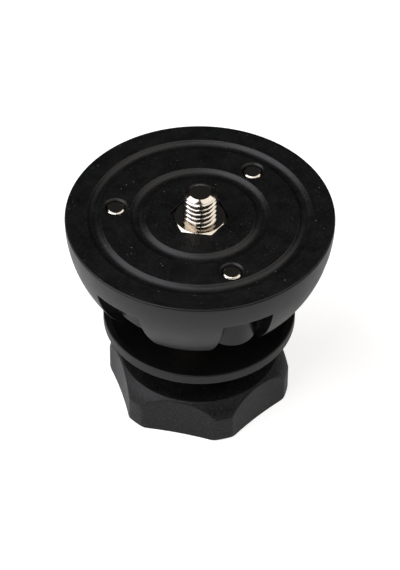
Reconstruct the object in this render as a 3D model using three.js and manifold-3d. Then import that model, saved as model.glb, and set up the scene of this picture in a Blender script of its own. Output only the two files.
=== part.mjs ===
// Tripod half ball adapter for a 75 mm bowl. A platform with a spherical seat below it is held in the bowl by
// a clamp disc and a hand knob on one long tie bolt, whose upper end is the 3/8 inch thread for the head.
// Millimetres, +Z up, origin in the middle of the knob's foot.

import * as THREE from 'three';
import { mergeVertices } from 'three/addons/utils/BufferGeometryUtils.js';
import Module from 'manifold-3d';

const wasm = await Module();
wasm.setup();

// Facets of the round forms
const ROUND_SIDES = 72;
const SMALL_SIDES = 36;
const THREAD_SIDES = 24;
const BALL_STEPS = 13;
const GROOVE_STEPS = 6;

// How far a cutting shape runs past the face that it cuts
const CUT_MARGIN = 1;

// Clearances
const SEAT_GAP = 0.3;
const RUN_GAP = 0.3;
const BORE_CLEARANCE = 0.4;

// Half ball: depths are measured down from the platform
const BALL_RADIUS = 37.5;
const RIM_CHAMFER = 0.4;
const BAND_DEPTH = 8;
const HUB_RADIUS = 27.4;
const HUB_DEPTH = 22.2;
const LOBE_DEPTH = 28.5;
const LOBE_INNER_RADIUS = 19.5;
const SLOT_WIDTH = 14.6;
const GROOVE_DEPTH = 1;
const OUTER_GROOVE_RADIUS = 29.45;
const OUTER_GROOVE_WIDTH = 3.7;
const INNER_GROOVE_RADIUS = 17.4;
const INNER_GROOVE_WIDTH = 4;

// Set screws and their bosses: one in every second slot, as deep as the hub
const SCREW_COUNT = 3;
const SLOTS_PER_SCREW = 2;
const FIRST_SCREW_ANGLE = -90;
const SCREW_CIRCLE_RADIUS = 23.7;
const SCREW_RADIUS = 2.5;
const SCREW_LENGTH = 16;
const SCREW_TIP_RADIUS = 2.1;
const SCREW_TIP_CHAMFER = 0.25;
const SCREW_SINK = 0.4;
const SCREW_SOCKET_FLATS = 2.5;
const SCREW_SOCKET_DEPTH = 2.5;
const BOSS_RADIUS = 6.7;
const COUNTERSINK_RADIUS = 3.3;

// Tie bolt
const HEAD_THREAD_RADIUS = 4.7625;
const HEAD_THREAD_PITCH = 1.5875;
const HEAD_THREAD_DEPTH = 0.95;
const HEAD_THREAD_HEIGHT = 8.6;
const HEAD_TIP_RADIUS = 2.95;
const HEAD_TIP_SLOPE = 0.4;
const HEAD_POINT_RADIUS = 4.35;
const HEAD_POINT_HEIGHT = 0.5;
const HEAD_POINT_CHAMFER = 0.3;
const HEAD_POINT_COVER = 0.04;
const TIP_TRIM_TURN = 2;
const COLLAR_FLATS = 14.3;
const COLLAR_THICKNESS = 3.85;
const COLLAR_PROUD = -0.25;
const COLLAR_FACE_RADIUS = 6.95;
const COLLAR_CHAMFER_HEIGHT = 0.78;
const RECESS_CLEARANCE = 0.3;
const ROD_RADIUS = 4.9;

// Washers and nut that hold the bolt in the hub
const HUB_WASHER_RADIUS = 10;
const HUB_WASHER_THICKNESS = 1.2;
const LOCK_WASHER_RADIUS = 8.8;
const LOCK_WASHER_THICKNESS = 2;
const LOCK_WASHER_SPLIT = 1.6;
const NUT_FLATS = 17;
const NUT_THICKNESS = 4.5;

// End stop on the rod
const STOP_WASHER_RADIUS = 8;
const STOP_WASHER_THICKNESS = 1.2;
const STOP_SCREW_RADIUS = 2.4;
const STOP_SCREW_REACH = 9;
const STOP_HEAD_RADIUS = 4.4;
const STOP_HEAD_THICKNESS = 2.6;
const STOP_HEAD_CHAMFER = 0.5;
const STOP_SOCKET_FLATS = 3;
const STOP_SOCKET_DEPTH = 1.5;

// Travel of knob and disc from where they stand
const CLAMP_TRAVEL = 4;
const RELEASE_TRAVEL = 2.95;

// Knob
const KNOB_LOBES = 6;
const KNOB_REST_TURN = -5.5;
const KNOB_LOBE_RADIUS = 26.1;
const KNOB_FLUTE_RADIUS = 23.2;
const KNOB_SCOOP_RADIUS = 100;
const KNOB_EDGE_SOFTNESS = 0.2;
const KNOB_FOOT_CHAMFER = 0.5;
const KNOB_WALL_HEIGHT = 8.2;
const KNOB_SHOULDER_HEIGHT = 13;
const KNOB_SHOULDER_RADIUS = 22.7;
const KNOB_SHOULDER_BULGE = 0.45;
const KNOB_SHOULDER_STEPS = 7;
const KNOB_NECK_RADIUS = 12.5;
const KNOB_NECK_FOOT_HEIGHT = 14;
const NECK_WALL = 2.15;
const CAP_RADIUS = 12.5;
const CAP_THICKNESS = 2;
const CAP_CHAMFER = 0.3;
const CAP_RECESS = 0.5;

// Threaded insert with the spigot that carries the disc
const SPIGOT_RADIUS = 8;
const SPIGOT_CHAMFER = 0.5;
const SPIGOT_LAND = 0.85;
const FLANGE_RADIUS = 10;
const FLANGE_THICKNESS = 3.2;
const FLANGE_SIDES = 12;
const RING_GROOVE_DEPTH = 1;
const RING_THICKNESS = 1.2;
const RING_WIDTH = 2.2;
const RING_OPENING = 50;
const RING_LUG_RADIUS = 1.9;
const RING_LUG_SIDES = 18;
const RING_LUG_HOLE_RADIUS = 0.8;
const RING_LUG_HOLE_SIDES = 12;

// Clamp disc and its slip washer
const DISC_RADIUS = 27.3;
const DISC_EDGE_CHAMFER = 0.3;
const DISC_LAND_WIDTH = 1.6;
const DISC_RIM_THICKNESS = 3.2;
const DISC_FLOOR_RADIUS = 13;
const DISC_FLOOR_THICKNESS = 3.2;
const DISH_DEPTH = 3.7;
const THRUST_WASHER_RADIUS = 12;
const THRUST_WASHER_THICKNESS = 0.8;
const CLAMP_GAP = 7.4;

// Heights, built up from the knob's foot
const capTop = CAP_RECESS + CAP_THICKNESS;
const stopHeadBottom = capTop + CLAMP_TRAVEL + RUN_GAP;
const stopWasherBottom = stopHeadBottom + STOP_HEAD_THICKNESS + SEAT_GAP;
const stopWasherTop = stopWasherBottom + STOP_WASHER_THICKNESS;
const rodEnd = stopWasherTop + SEAT_GAP;
const insertBottom = stopWasherTop + RELEASE_TRAVEL + RUN_GAP;
const flangeTop = insertBottom + FLANGE_THICKNESS;
const neckTop = flangeTop + SEAT_GAP + NECK_WALL;
const thrustWasherBottom = neckTop + RUN_GAP;
const discBottom = thrustWasherBottom + THRUST_WASHER_THICKNESS + RUN_GAP;
const discFloor = discBottom + DISC_FLOOR_THICKNESS;
const discTop = discFloor + DISH_DEPTH;
const ringBottom = discFloor + RUN_GAP;
const spigotTop = ringBottom + RING_THICKNESS + SPIGOT_LAND;
const lobeBottom = discTop + CLAMP_GAP;
const platform = lobeBottom + LOBE_DEPTH;
const hubBottom = platform - HUB_DEPTH;
const hubWasherBottom = hubBottom - SEAT_GAP - HUB_WASHER_THICKNESS;
const lockWasherBottom = hubWasherBottom - SEAT_GAP - LOCK_WASHER_THICKNESS;
const nutBottom = lockWasherBottom - SEAT_GAP - NUT_THICKNESS;

// Radii of holes that take another piece
const rodHoleRadius = ROD_RADIUS + BORE_CLEARANCE;
const screwHoleRadius = SCREW_RADIUS + SEAT_GAP;
const slotCount = SCREW_COUNT * SLOTS_PER_SCREW;

const radians = THREE.MathUtils.degToRad;

// Height from the platform at which rod and thread meet, inside the collar
const boltJoin = COLLAR_PROUD - COLLAR_THICKNESS / 2;

// Turning a round cut by half a facet keeps its corners off the flats and lines that it meets
const halfFacet = (sides) => Math.PI / sides;

// Turns a closed profile of [radius, height] pairs about the Z axis
function turned(profile, sides = ROUND_SIDES) {
  const points = profile.map(([radius, height]) => new THREE.Vector2(radius, height));
  const geometry = new THREE.LatheGeometry(points, sides);
  geometry.rotateX(Math.PI / 2);
  return geometry;
}

// A solid disc or bar between two heights
function bar(radius, bottom, top, sides = SMALL_SIDES) {
  return turned([[0, bottom], [radius, bottom], [radius, top], [0, top]], sides);
}

// A ring between two radii and two heights
function ring(inner, outer, bottom, top, sides = SMALL_SIDES) {
  return turned([[inner, bottom], [outer, bottom], [outer, top], [inner, top], [inner, bottom]], sides);
}

// A prism with flats; one corner points along +X
function prism(sides, flats, bottom, top) {
  const cornerRadius = flats / 2 / Math.cos(Math.PI / sides);
  const geometry = new THREE.CylinderGeometry(cornerRadius, cornerRadius, top - bottom, sides);
  geometry.rotateX(Math.PI / 2);
  geometry.rotateZ(Math.PI / 2);
  geometry.translate(0, 0, (top + bottom) / 2);
  return geometry;
}

// Merges a geometry's vertices and drops the flat triangles at its poles
function joinedSurface(geometry) {
  const bare = geometry.clone();
  bare.deleteAttribute('normal');
  bare.deleteAttribute('uv');
  const merged = mergeVertices(bare);
  const corners = merged.getIndex().array;
  const kept = [];
  for (let i = 0; i < corners.length; i += 3) {
    const [a, b, c] = [corners[i], corners[i + 1], corners[i + 2]];
    if (a !== b && b !== c && c !== a) kept.push(a, b, c);
  }
  merged.setIndex(kept);
  return merged;
}

function solid(geometry) {
  const skin = joinedSurface(geometry);
  const vertProperties = Float32Array.from(skin.getAttribute('position').array);
  const triVerts = Uint32Array.from(skin.getIndex().array);
  return new wasm.Manifold(new wasm.Mesh({ numProp: 3, vertProperties, triVerts }));
}

function surface(manifold) {
  const mesh = manifold.getMesh();
  const geometry = new THREE.BufferGeometry();
  geometry.setAttribute('position', new THREE.BufferAttribute(mesh.vertProperties, 3));
  geometry.setIndex(new THREE.BufferAttribute(mesh.triVerts, 1));
  return geometry;
}

function united(geometries) {
  return geometries.map(solid).reduce((whole, next) => whole.add(next));
}

// Points of a round-bottomed groove in the platform, walked inwards
function grooveProfile(radius, width) {
  const half = width / 2;
  const arcRadius = (half * half + GROOVE_DEPTH * GROOVE_DEPTH) / (2 * GROOVE_DEPTH);
  const sweep = Math.asin(half / arcRadius);
  const points = [];
  for (let i = 0; i <= GROOVE_STEPS; i += 1) {
    const angle = sweep * (1 - 2 * i / GROOVE_STEPS);
    points.push([radius + arcRadius * Math.sin(angle), arcRadius * (Math.cos(sweep) - Math.cos(angle))]);
  }
  return points;
}

// Angle of each screw, and of the slot that it stands in
function screwAngles() {
  const step = 360 / SCREW_COUNT;
  return Array.from({ length: SCREW_COUNT }, (_, i) => radians(FIRST_SCREW_ANGLE + i * step));
}

function atScrew(geometry, angle) {
  geometry.translate(SCREW_CIRCLE_RADIUS * Math.cos(angle), SCREW_CIRCLE_RADIUS * Math.sin(angle), 0);
  return geometry;
}

// The ball's full form before its slots are cut, with the platform at height 0
function ballBlank() {
  const low = -Math.asin(LOBE_DEPTH / BALL_RADIUS);
  const high = -Math.asin(RIM_CHAMFER / BALL_RADIUS);
  const profile = [[rodHoleRadius, -LOBE_DEPTH]];
  for (let i = 0; i <= BALL_STEPS; i += 1) {
    const angle = low + (high - low) * i / BALL_STEPS;
    profile.push([BALL_RADIUS * Math.cos(angle), BALL_RADIUS * Math.sin(angle)]);
  }
  profile.push([BALL_RADIUS - RIM_CHAMFER, 0]);
  profile.push(...grooveProfile(OUTER_GROOVE_RADIUS, OUTER_GROOVE_WIDTH));
  profile.push(...grooveProfile(INNER_GROOVE_RADIUS, INNER_GROOVE_WIDTH));
  profile.push([rodHoleRadius, 0], [rodHoleRadius, -LOBE_DEPTH]);
  return turned(profile);
}

// The room between the lobes: six open slots, and the space below the hub
function slotRoom() {
  const reach = BALL_RADIUS + CUT_MARGIN;
  const depth = LOBE_DEPTH + CUT_MARGIN;
  const cuts = [bar(LOBE_INNER_RADIUS, -depth, -BAND_DEPTH, ROUND_SIDES)];
  for (let i = 0; i < slotCount; i += 1) {
    const cut = new THREE.BoxGeometry(reach, SLOT_WIDTH, depth - BAND_DEPTH);
    cut.translate(reach / 2, 0, -(depth + BAND_DEPTH) / 2);
    cut.rotateZ(radians(FIRST_SCREW_ANGLE + i * 360 / slotCount));
    cuts.push(cut);
  }
  return united(cuts).subtract(solid(bar(HUB_RADIUS, -HUB_DEPTH, 0, ROUND_SIDES)));
}

// The bosses end inside the band, halfway up
function screwBosses() {
  return united(screwAngles().map((angle) => atScrew(bar(BOSS_RADIUS, -HUB_DEPTH, -BAND_DEPTH / 2), angle)));
}

// A screw hole right through the boss, with its mouth widened in the platform
function screwHoles() {
  const sinkDepth = COUNTERSINK_RADIUS - screwHoleRadius;
  const hole = [[0, -HUB_DEPTH - CUT_MARGIN], [screwHoleRadius, -HUB_DEPTH - CUT_MARGIN],
    [screwHoleRadius, -sinkDepth], [COUNTERSINK_RADIUS + CUT_MARGIN, CUT_MARGIN], [0, CUT_MARGIN]];
  const cut = () => turned(hole, THREAD_SIDES).rotateZ(halfFacet(THREAD_SIDES));
  return united(screwAngles().map((angle) => atScrew(cut(), angle)));
}

// The six-sided pocket that keeps the bolt's collar from turning
function collarRecess() {
  const depth = COLLAR_THICKNESS - COLLAR_PROUD + SEAT_GAP;
  const pocket = prism(6, COLLAR_FLATS + 2 * RECESS_CLEARANCE, -depth, CUT_MARGIN);
  return solid(pocket.rotateZ(radians(FIRST_SCREW_ANGLE)));
}

function halfBall() {
  const ball = solid(ballBlank()).subtract(slotRoom());
  return surface(ball.add(screwBosses()).subtract(screwHoles()).subtract(collarRecess()));
}

// A screw thread as one closed skin: rows follow the helix, so column 0 meets the last column one turn higher
function threadSkin(radius, depth, pitch, height) {
  const crestEnd = 1 / 8;
  const rootStart = 7 / 16;
  const rootEnd = 11 / 16;
  const turnRows = [[0, radius], [crestEnd, radius], [rootStart, radius - depth], [rootEnd, radius - depth]];
  const rowsPerTurn = turnRows.length;
  const spareTurns = 2;
  const rowCount = rowsPerTurn * (Math.ceil(height / pitch) + spareTurns);
  const start = -spareTurns * pitch;
  const positions = [];
  const indexOf = new Map();
  const vertex = (column, row) => {
    if (column === THREAD_SIDES) return vertex(0, row + rowsPerTurn);
    const key = `${column},${row}`;
    if (!indexOf.has(key)) {
      const [share, reach] = turnRows[row % rowsPerTurn];
      const angle = 2 * Math.PI * column / THREAD_SIDES;
      const turns = Math.floor(row / rowsPerTurn) + share + column / THREAD_SIDES;
      indexOf.set(key, positions.length / 3);
      positions.push(reach * Math.cos(angle), reach * Math.sin(angle), start + turns * pitch);
    }
    return indexOf.get(key);
  };
  const triangles = [];
  for (let column = 0; column < THREAD_SIDES; column += 1) {
    for (let row = 0; row < rowCount; row += 1) {
      const [a, b] = [vertex(column, row), vertex(column + 1, row)];
      const [c, d] = [vertex(column + 1, row + 1), vertex(column, row + 1)];
      triangles.push(a, b, c, a, c, d);
    }
  }
  const cap = (row, facesUp) => {
    const rim = [];
    for (let column = 0; column <= THREAD_SIDES; column += 1) rim.push(vertex(column, row));
    for (let step = rowsPerTurn - 1; step > 0; step -= 1) rim.push(vertex(0, row + step));
    const middle = positions.length / 3;
    positions.push(0, 0, start + (row / rowsPerTurn + 0.5) * pitch);
    rim.forEach((corner, i) => {
      const next = rim[(i + 1) % rim.length];
      triangles.push(middle, facesUp ? corner : next, facesUp ? next : corner);
    });
  };
  cap(0, false);
  cap(rowCount, true);
  const geometry = new THREE.BufferGeometry();
  geometry.setAttribute('position', new THREE.Float32BufferAttribute(positions, 3));
  geometry.setIndex(triangles);
  return geometry;
}

// Height of the tip's cone at a radius
function tipHeight(radius) {
  return HEAD_THREAD_HEIGHT - HEAD_TIP_SLOPE * (radius - HEAD_TIP_RADIUS);
}

// The plain point that the thread runs out into, a little above the cone that trims the thread
function headPoint() {
  const shoulder = tipHeight(HEAD_POINT_RADIUS);
  const foot = shoulder - HEAD_POINT_HEIGHT;
  return turned([[0, foot], [HEAD_POINT_RADIUS - HEAD_POINT_CHAMFER, foot],
    [HEAD_POINT_RADIUS, foot + HEAD_POINT_CHAMFER], [HEAD_POINT_RADIUS, shoulder],
    [HEAD_TIP_RADIUS, HEAD_THREAD_HEIGHT], [0, HEAD_THREAD_HEIGHT]], SMALL_SIDES);
}

// The thread for the head, trimmed to a cone and closed with its point
function headThread() {
  const wide = HEAD_THREAD_RADIUS + CUT_MARGIN;
  const top = HEAD_THREAD_HEIGHT - HEAD_POINT_COVER;
  const outline = [[0, boltJoin], [wide, boltJoin], [wide, tipHeight(wide) - HEAD_POINT_COVER],
    [HEAD_TIP_RADIUS, top], [0, top]];
  const skin = threadSkin(HEAD_THREAD_RADIUS, HEAD_THREAD_DEPTH, HEAD_THREAD_PITCH, HEAD_THREAD_HEIGHT);
  const turnedForms = [turned(outline, SMALL_SIDES), headPoint()];
  const [tipTrim, point] = turnedForms.map((form) => solid(form.rotateZ(radians(TIP_TRIM_TURN))));
  return solid(skin).intersect(tipTrim).add(point);
}

// The six-sided collar, its upper corners turned down to a cone
function boltCollar() {
  const bottom = COLLAR_PROUD - COLLAR_THICKNESS;
  const hex = prism(6, COLLAR_FLATS, bottom, COLLAR_PROUD).rotateZ(radians(FIRST_SCREW_ANGLE));
  const corner = COLLAR_FLATS / 2 / Math.cos(Math.PI / 6);
  const slope = COLLAR_CHAMFER_HEIGHT / (corner - COLLAR_FACE_RADIUS);
  const wide = corner + CUT_MARGIN;
  const cone = turned([[0, bottom - CUT_MARGIN], [wide, bottom - CUT_MARGIN],
    [wide, COLLAR_PROUD - slope * (wide - COLLAR_FACE_RADIUS)],
    [COLLAR_FACE_RADIUS, COLLAR_PROUD], [0, COLLAR_PROUD]], SMALL_SIDES);
  return solid(hex).intersect(solid(cone.rotateZ(halfFacet(SMALL_SIDES))));
}

// The bolt, with the platform at height 0
function tieBolt() {
  const rodBottom = rodEnd - platform;
  const rod = solid(bar(ROD_RADIUS, rodBottom, boltJoin));
  const stopHoleTop = rodBottom + STOP_SCREW_REACH + SEAT_GAP;
  const stopHole = bar(STOP_SCREW_RADIUS + SEAT_GAP, rodBottom - CUT_MARGIN, stopHoleTop, THREAD_SIDES);
  return surface(rod.add(boltCollar()).add(headThread()).subtract(solid(stopHole)));
}

// A set screw with its tip at height 0 and a hexagonal socket at the lower end
function setScrew() {
  const body = turned([[0, -SCREW_LENGTH], [SCREW_RADIUS, -SCREW_LENGTH], [SCREW_RADIUS, -SCREW_TIP_CHAMFER],
    [SCREW_TIP_RADIUS, 0], [0, 0]], THREAD_SIDES);
  const socket = prism(6, SCREW_SOCKET_FLATS, -SCREW_LENGTH - CUT_MARGIN, -SCREW_LENGTH + SCREW_SOCKET_DEPTH);
  return surface(solid(body).subtract(solid(socket)));
}

function lockWasher() {
  const whole = ring(rodHoleRadius, LOCK_WASHER_RADIUS, 0, LOCK_WASHER_THICKNESS);
  const reach = LOCK_WASHER_RADIUS + CUT_MARGIN;
  const split = new THREE.BoxGeometry(reach, LOCK_WASHER_SPLIT, LOCK_WASHER_THICKNESS + 2 * CUT_MARGIN);
  split.translate(reach / 2, 0, LOCK_WASHER_THICKNESS / 2);
  return surface(solid(whole).subtract(solid(split)));
}

// A nut with both faces chamfered to a circle
function hubNut() {
  const faceRadius = NUT_FLATS / 2;
  const corner = faceRadius / Math.cos(Math.PI / 6);
  const bevel = corner - faceRadius;
  const hex = prism(6, NUT_FLATS, 0, NUT_THICKNESS);
  const trim = turned([[rodHoleRadius, 0], [faceRadius, 0], [corner, bevel / 2],
    [corner, NUT_THICKNESS - bevel / 2], [faceRadius, NUT_THICKNESS], [rodHoleRadius, NUT_THICKNESS],
    [rodHoleRadius, 0]], SMALL_SIDES);
  return surface(solid(hex).intersect(solid(trim)));
}

// The end screw: a flat head below and the shank that goes up into the rod
function stopScrew() {
  const shankTop = STOP_HEAD_THICKNESS + SEAT_GAP + STOP_WASHER_THICKNESS + SEAT_GAP + STOP_SCREW_REACH;
  const body = turned([[0, 0], [STOP_HEAD_RADIUS - STOP_HEAD_CHAMFER, 0],
    [STOP_HEAD_RADIUS, STOP_HEAD_CHAMFER], [STOP_HEAD_RADIUS, STOP_HEAD_THICKNESS],
    [STOP_SCREW_RADIUS, STOP_HEAD_THICKNESS],
    [STOP_SCREW_RADIUS, shankTop], [0, shankTop]], THREAD_SIDES);
  return surface(solid(body).subtract(solid(prism(6, STOP_SOCKET_FLATS, -CUT_MARGIN, STOP_SOCKET_DEPTH))));
}

// Distance from the knob's axis to the scooped wall between two lobes
function scoopReach(angle) {
  const step = 2 * Math.PI / KNOB_LOBES;
  const offset = angle - step / 2 - step * Math.round((angle - step / 2) / step);
  const centre = KNOB_FLUTE_RADIUS + KNOB_SCOOP_RADIUS;
  const chord = centre * Math.sin(offset);
  return centre * Math.cos(offset) - Math.sqrt(KNOB_SCOOP_RADIUS * KNOB_SCOOP_RADIUS - chord * chord);
}

// The smaller of two reaches, with the corner between them rounded
function softSmaller(first, second) {
  const [a, b] = [first, second].map((reach) => Math.exp(-reach / KNOB_EDGE_SOFTNESS));
  return -KNOB_EDGE_SOFTNESS * Math.log(a + b);
}

// Outer skin of the knob: a turned form whose wall and shoulder are drawn in at the scoops
function knobBlank() {
  const profile = [[0, 0], [KNOB_LOBE_RADIUS - KNOB_FOOT_CHAMFER, 0], [KNOB_LOBE_RADIUS, KNOB_FOOT_CHAMFER]];
  for (let i = 0; i <= KNOB_SHOULDER_STEPS; i += 1) {
    const share = i / KNOB_SHOULDER_STEPS;
    const bulge = KNOB_SHOULDER_BULGE * Math.sin(Math.PI * share);
    const radius = KNOB_LOBE_RADIUS + (KNOB_SHOULDER_RADIUS - KNOB_LOBE_RADIUS) * share + bulge;
    profile.push([radius, KNOB_WALL_HEIGHT + (KNOB_SHOULDER_HEIGHT - KNOB_WALL_HEIGHT) * share]);
  }
  profile.push([KNOB_NECK_RADIUS, KNOB_NECK_FOOT_HEIGHT], [KNOB_NECK_RADIUS, neckTop], [0, neckTop]);
  const geometry = turned(profile);
  const position = geometry.getAttribute('position');
  for (let i = 0; i < position.count; i += 1) {
    const [x, y] = [position.getX(i), position.getY(i)];
    const radius = Math.hypot(x, y);
    if (radius > 0) {
      const drawn = softSmaller(radius, scoopReach(Math.atan2(y, x))) / radius;
      position.setXY(i, x * drawn, y * drawn);
    }
  }
  return geometry;
}

function knobBody() {
  const spigotHole = bar(SPIGOT_RADIUS + SEAT_GAP, flangeTop, neckTop + CUT_MARGIN);
  const flangeRoom = bar(FLANGE_RADIUS + SEAT_GAP, 0, flangeTop + SEAT_GAP, FLANGE_SIDES);
  const capRoom = bar(CAP_RADIUS + SEAT_GAP, -CUT_MARGIN, capTop + SEAT_GAP);
  return surface(solid(knobBlank()).subtract(united([spigotHole, flangeRoom, capRoom])));
}

function knobCap() {
  const form = turned([[0, CAP_RECESS], [CAP_RADIUS - CAP_CHAMFER, CAP_RECESS],
    [CAP_RADIUS, CAP_RECESS + CAP_CHAMFER], [CAP_RADIUS, capTop], [0, capTop]], SMALL_SIDES);
  return surface(solid(form));
}

// The insert: a twelve-sided flange below, and a spigot with the ring's groove near its top
function knobInsert() {
  const grooveRadius = SPIGOT_RADIUS - RING_GROOVE_DEPTH;
  const grooveBottom = ringBottom - SEAT_GAP / 2;
  const grooveTop = ringBottom + RING_THICKNESS + SEAT_GAP / 2;
  const spigot = turned([[0, insertBottom], [SPIGOT_RADIUS, insertBottom], [SPIGOT_RADIUS, grooveBottom],
    [grooveRadius, grooveBottom], [grooveRadius, grooveTop], [SPIGOT_RADIUS, grooveTop],
    [SPIGOT_RADIUS, spigotTop - SPIGOT_CHAMFER], [SPIGOT_RADIUS - SPIGOT_CHAMFER, spigotTop],
    [0, spigotTop]], SMALL_SIDES);
  const flange = bar(FLANGE_RADIUS, insertBottom, flangeTop, FLANGE_SIDES);
  const bore = bar(rodHoleRadius, insertBottom - CUT_MARGIN, spigotTop + CUT_MARGIN);
  return surface(solid(spigot).add(solid(flange)).subtract(solid(bore)));
}

// The wedge that is cut from the spring ring, with its point on the axis
function ringOpening(reach, halfAngle) {
  const wedge = new THREE.Shape();
  wedge.moveTo(0, 0);
  wedge.lineTo(reach * Math.cos(halfAngle), -reach * Math.sin(halfAngle));
  wedge.lineTo(reach * Math.cos(halfAngle), reach * Math.sin(halfAngle));
  const depth = RING_THICKNESS + 2 * CUT_MARGIN;
  const cut = new THREE.ExtrudeGeometry(wedge, { depth, bevelEnabled: false });
  return solid(cut.translate(0, 0, -CUT_MARGIN));
}

// An open spring ring with two drilled lugs
function discRing() {
  const inner = SPIGOT_RADIUS - RING_GROOVE_DEPTH + SEAT_GAP;
  const outer = inner + RING_WIDTH;
  const halfAngle = radians(RING_OPENING / 2);
  const lugAngle = halfAngle + RING_LUG_RADIUS / (inner + outer);
  const atLugs = (make) => united([-lugAngle, lugAngle].map((angle) => (
    make().translate(outer * Math.cos(angle), outer * Math.sin(angle), 0))));
  const lugs = atLugs(() => bar(RING_LUG_RADIUS, 0, RING_THICKNESS, RING_LUG_SIDES));
  const holes = atLugs(() => (
    bar(RING_LUG_HOLE_RADIUS, -CUT_MARGIN, RING_THICKNESS + CUT_MARGIN, RING_LUG_HOLE_SIDES)));
  const spigotRoom = solid(bar(inner, -CUT_MARGIN, RING_THICKNESS + CUT_MARGIN));
  const open = solid(bar(outer, 0, RING_THICKNESS)).subtract(ringOpening(2 * outer, halfAngle));
  return surface(open.add(lugs).subtract(holes).subtract(spigotRoom));
}

function clampDisc() {
  const landInner = DISC_RADIUS - DISC_EDGE_CHAMFER - DISC_LAND_WIDTH;
  const rimBottom = discTop - DISC_RIM_THICKNESS;
  const bore = SPIGOT_RADIUS + BORE_CLEARANCE;
  const landOuter = DISC_RADIUS - DISC_EDGE_CHAMFER;
  return turned([[bore, discBottom], [DISC_FLOOR_RADIUS, discBottom], [landInner, rimBottom],
    [landOuter, rimBottom], [DISC_RADIUS, rimBottom + DISC_EDGE_CHAMFER],
    [DISC_RADIUS, discTop - DISC_EDGE_CHAMFER], [landOuter, discTop], [landInner, discTop],
    [DISC_FLOOR_RADIUS, discFloor], [bore, discFloor], [bore, discBottom]]);
}

const finishes = {
  blackCasting: { color: 0x1c1d20, roughness: 0.55, metalness: 0.3 },
  blackDisc: { color: 0x222326, roughness: 0.5, metalness: 0.4 },
  nickel: { color: 0xcfc8ba, roughness: 0.22, metalness: 1 },
  steel: { color: 0x9a9a98, roughness: 0.4, metalness: 1 },
  springSteel: { color: 0x4a4a4c, roughness: 0.45, metalness: 0.9 },
  blackPlastic: { color: 0x202124, roughness: 0.75, metalness: 0 },
  blackCap: { color: 0x161719, roughness: 0.6, metalness: 0 },
  brass: { color: 0xb08d46, roughness: 0.35, metalness: 1 },
  paleNylon: { color: 0xd8d4c8, roughness: 0.6, metalness: 0 },
};

function piece(name, geometry, finish, height = 0) {
  const mesh = new THREE.Mesh(geometry, new THREE.MeshStandardMaterial(finish));
  mesh.name = name;
  mesh.position.z = height;
  return mesh;
}

function setScrews() {
  return screwAngles().map((angle, i) => {
    const screw = piece(`set_screw_${i + 1}`, setScrew(), finishes.nickel, platform - SCREW_SINK);
    screw.position.x = SCREW_CIRCLE_RADIUS * Math.cos(angle);
    screw.position.y = SCREW_CIRCLE_RADIUS * Math.sin(angle);
    screw.rotation.z = angle;
    return screw;
  });
}

function hubFasteners() {
  const washer = ring(rodHoleRadius, HUB_WASHER_RADIUS, 0, HUB_WASHER_THICKNESS);
  return [
    piece('hub_washer', washer, finishes.steel, hubWasherBottom),
    piece('hub_lock_washer', lockWasher(), finishes.springSteel, lockWasherBottom),
    piece('hub_nut', hubNut(), finishes.steel, nutBottom),
  ];
}

function endStop() {
  const washer = ring(STOP_SCREW_RADIUS + SEAT_GAP, STOP_WASHER_RADIUS, 0, STOP_WASHER_THICKNESS);
  return [
    piece('stop_washer', washer, finishes.steel, stopWasherBottom),
    piece('stop_screw', stopScrew(), finishes.steel, stopHeadBottom),
  ];
}

function discCarriage() {
  const washer = ring(SPIGOT_RADIUS + BORE_CLEARANCE, THRUST_WASHER_RADIUS, 0, THRUST_WASHER_THICKNESS);
  return [
    piece('clamp_disc', clampDisc(), finishes.blackDisc),
    piece('thrust_washer', washer, finishes.paleNylon, thrustWasherBottom),
  ];
}

// The knob's pieces turn together about +Z
function knob() {
  const group = new THREE.Group();
  group.rotation.z = radians(KNOB_REST_TURN + FIRST_SCREW_ANGLE);
  group.add(
    piece('knob_body', knobBody(), finishes.blackPlastic),
    piece('knob_insert', knobInsert(), finishes.brass),
    piece('knob_cap', knobCap(), finishes.blackCap),
    piece('disc_ring', discRing(), finishes.springSteel, ringBottom),
  );
  return group;
}

const adapter = new THREE.Group();
adapter.add(
  piece('half_ball', halfBall(), finishes.blackCasting, platform),
  piece('tie_bolt', tieBolt(), finishes.nickel, platform),
  ...setScrews(),
  ...hubFasteners(),
  ...endStop(),
  ...discCarriage(),
  knob(),
);

export default adapter;
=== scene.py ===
"""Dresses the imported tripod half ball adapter: fine pieces, finishes, a pale studio and the camera."""

import logging
import math
from collections.abc import Callable, Iterator
from contextlib import contextmanager
from dataclasses import dataclass
from enum import Enum
from itertools import pairwise

import bmesh
import bpy
from mathutils import Matrix, Quaternion, Vector


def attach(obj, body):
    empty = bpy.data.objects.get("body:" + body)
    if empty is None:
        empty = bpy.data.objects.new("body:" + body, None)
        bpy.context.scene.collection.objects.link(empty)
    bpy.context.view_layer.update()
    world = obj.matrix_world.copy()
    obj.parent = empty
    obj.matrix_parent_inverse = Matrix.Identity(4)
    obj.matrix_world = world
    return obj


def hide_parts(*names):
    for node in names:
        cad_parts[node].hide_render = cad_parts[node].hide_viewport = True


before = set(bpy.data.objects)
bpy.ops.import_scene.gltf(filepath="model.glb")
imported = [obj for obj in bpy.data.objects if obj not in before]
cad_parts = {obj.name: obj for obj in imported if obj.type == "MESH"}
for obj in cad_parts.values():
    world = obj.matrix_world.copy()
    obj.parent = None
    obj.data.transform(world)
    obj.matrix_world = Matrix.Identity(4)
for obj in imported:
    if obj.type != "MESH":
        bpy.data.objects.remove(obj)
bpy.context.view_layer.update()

log = logging.getLogger("adapter")

MM = 0.001
WELD = 1e-3
FLAT_WEIGHT = 60

# What a rounding may take at most of the lines beside its corner
LONGEST_SHARE = 0.49

# Facets of one round, for the widest pieces, for most of them and for narrow holes
WIDE_SIDES = 180
SIDES = 96
NARROW_SIDES = 48

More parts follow.
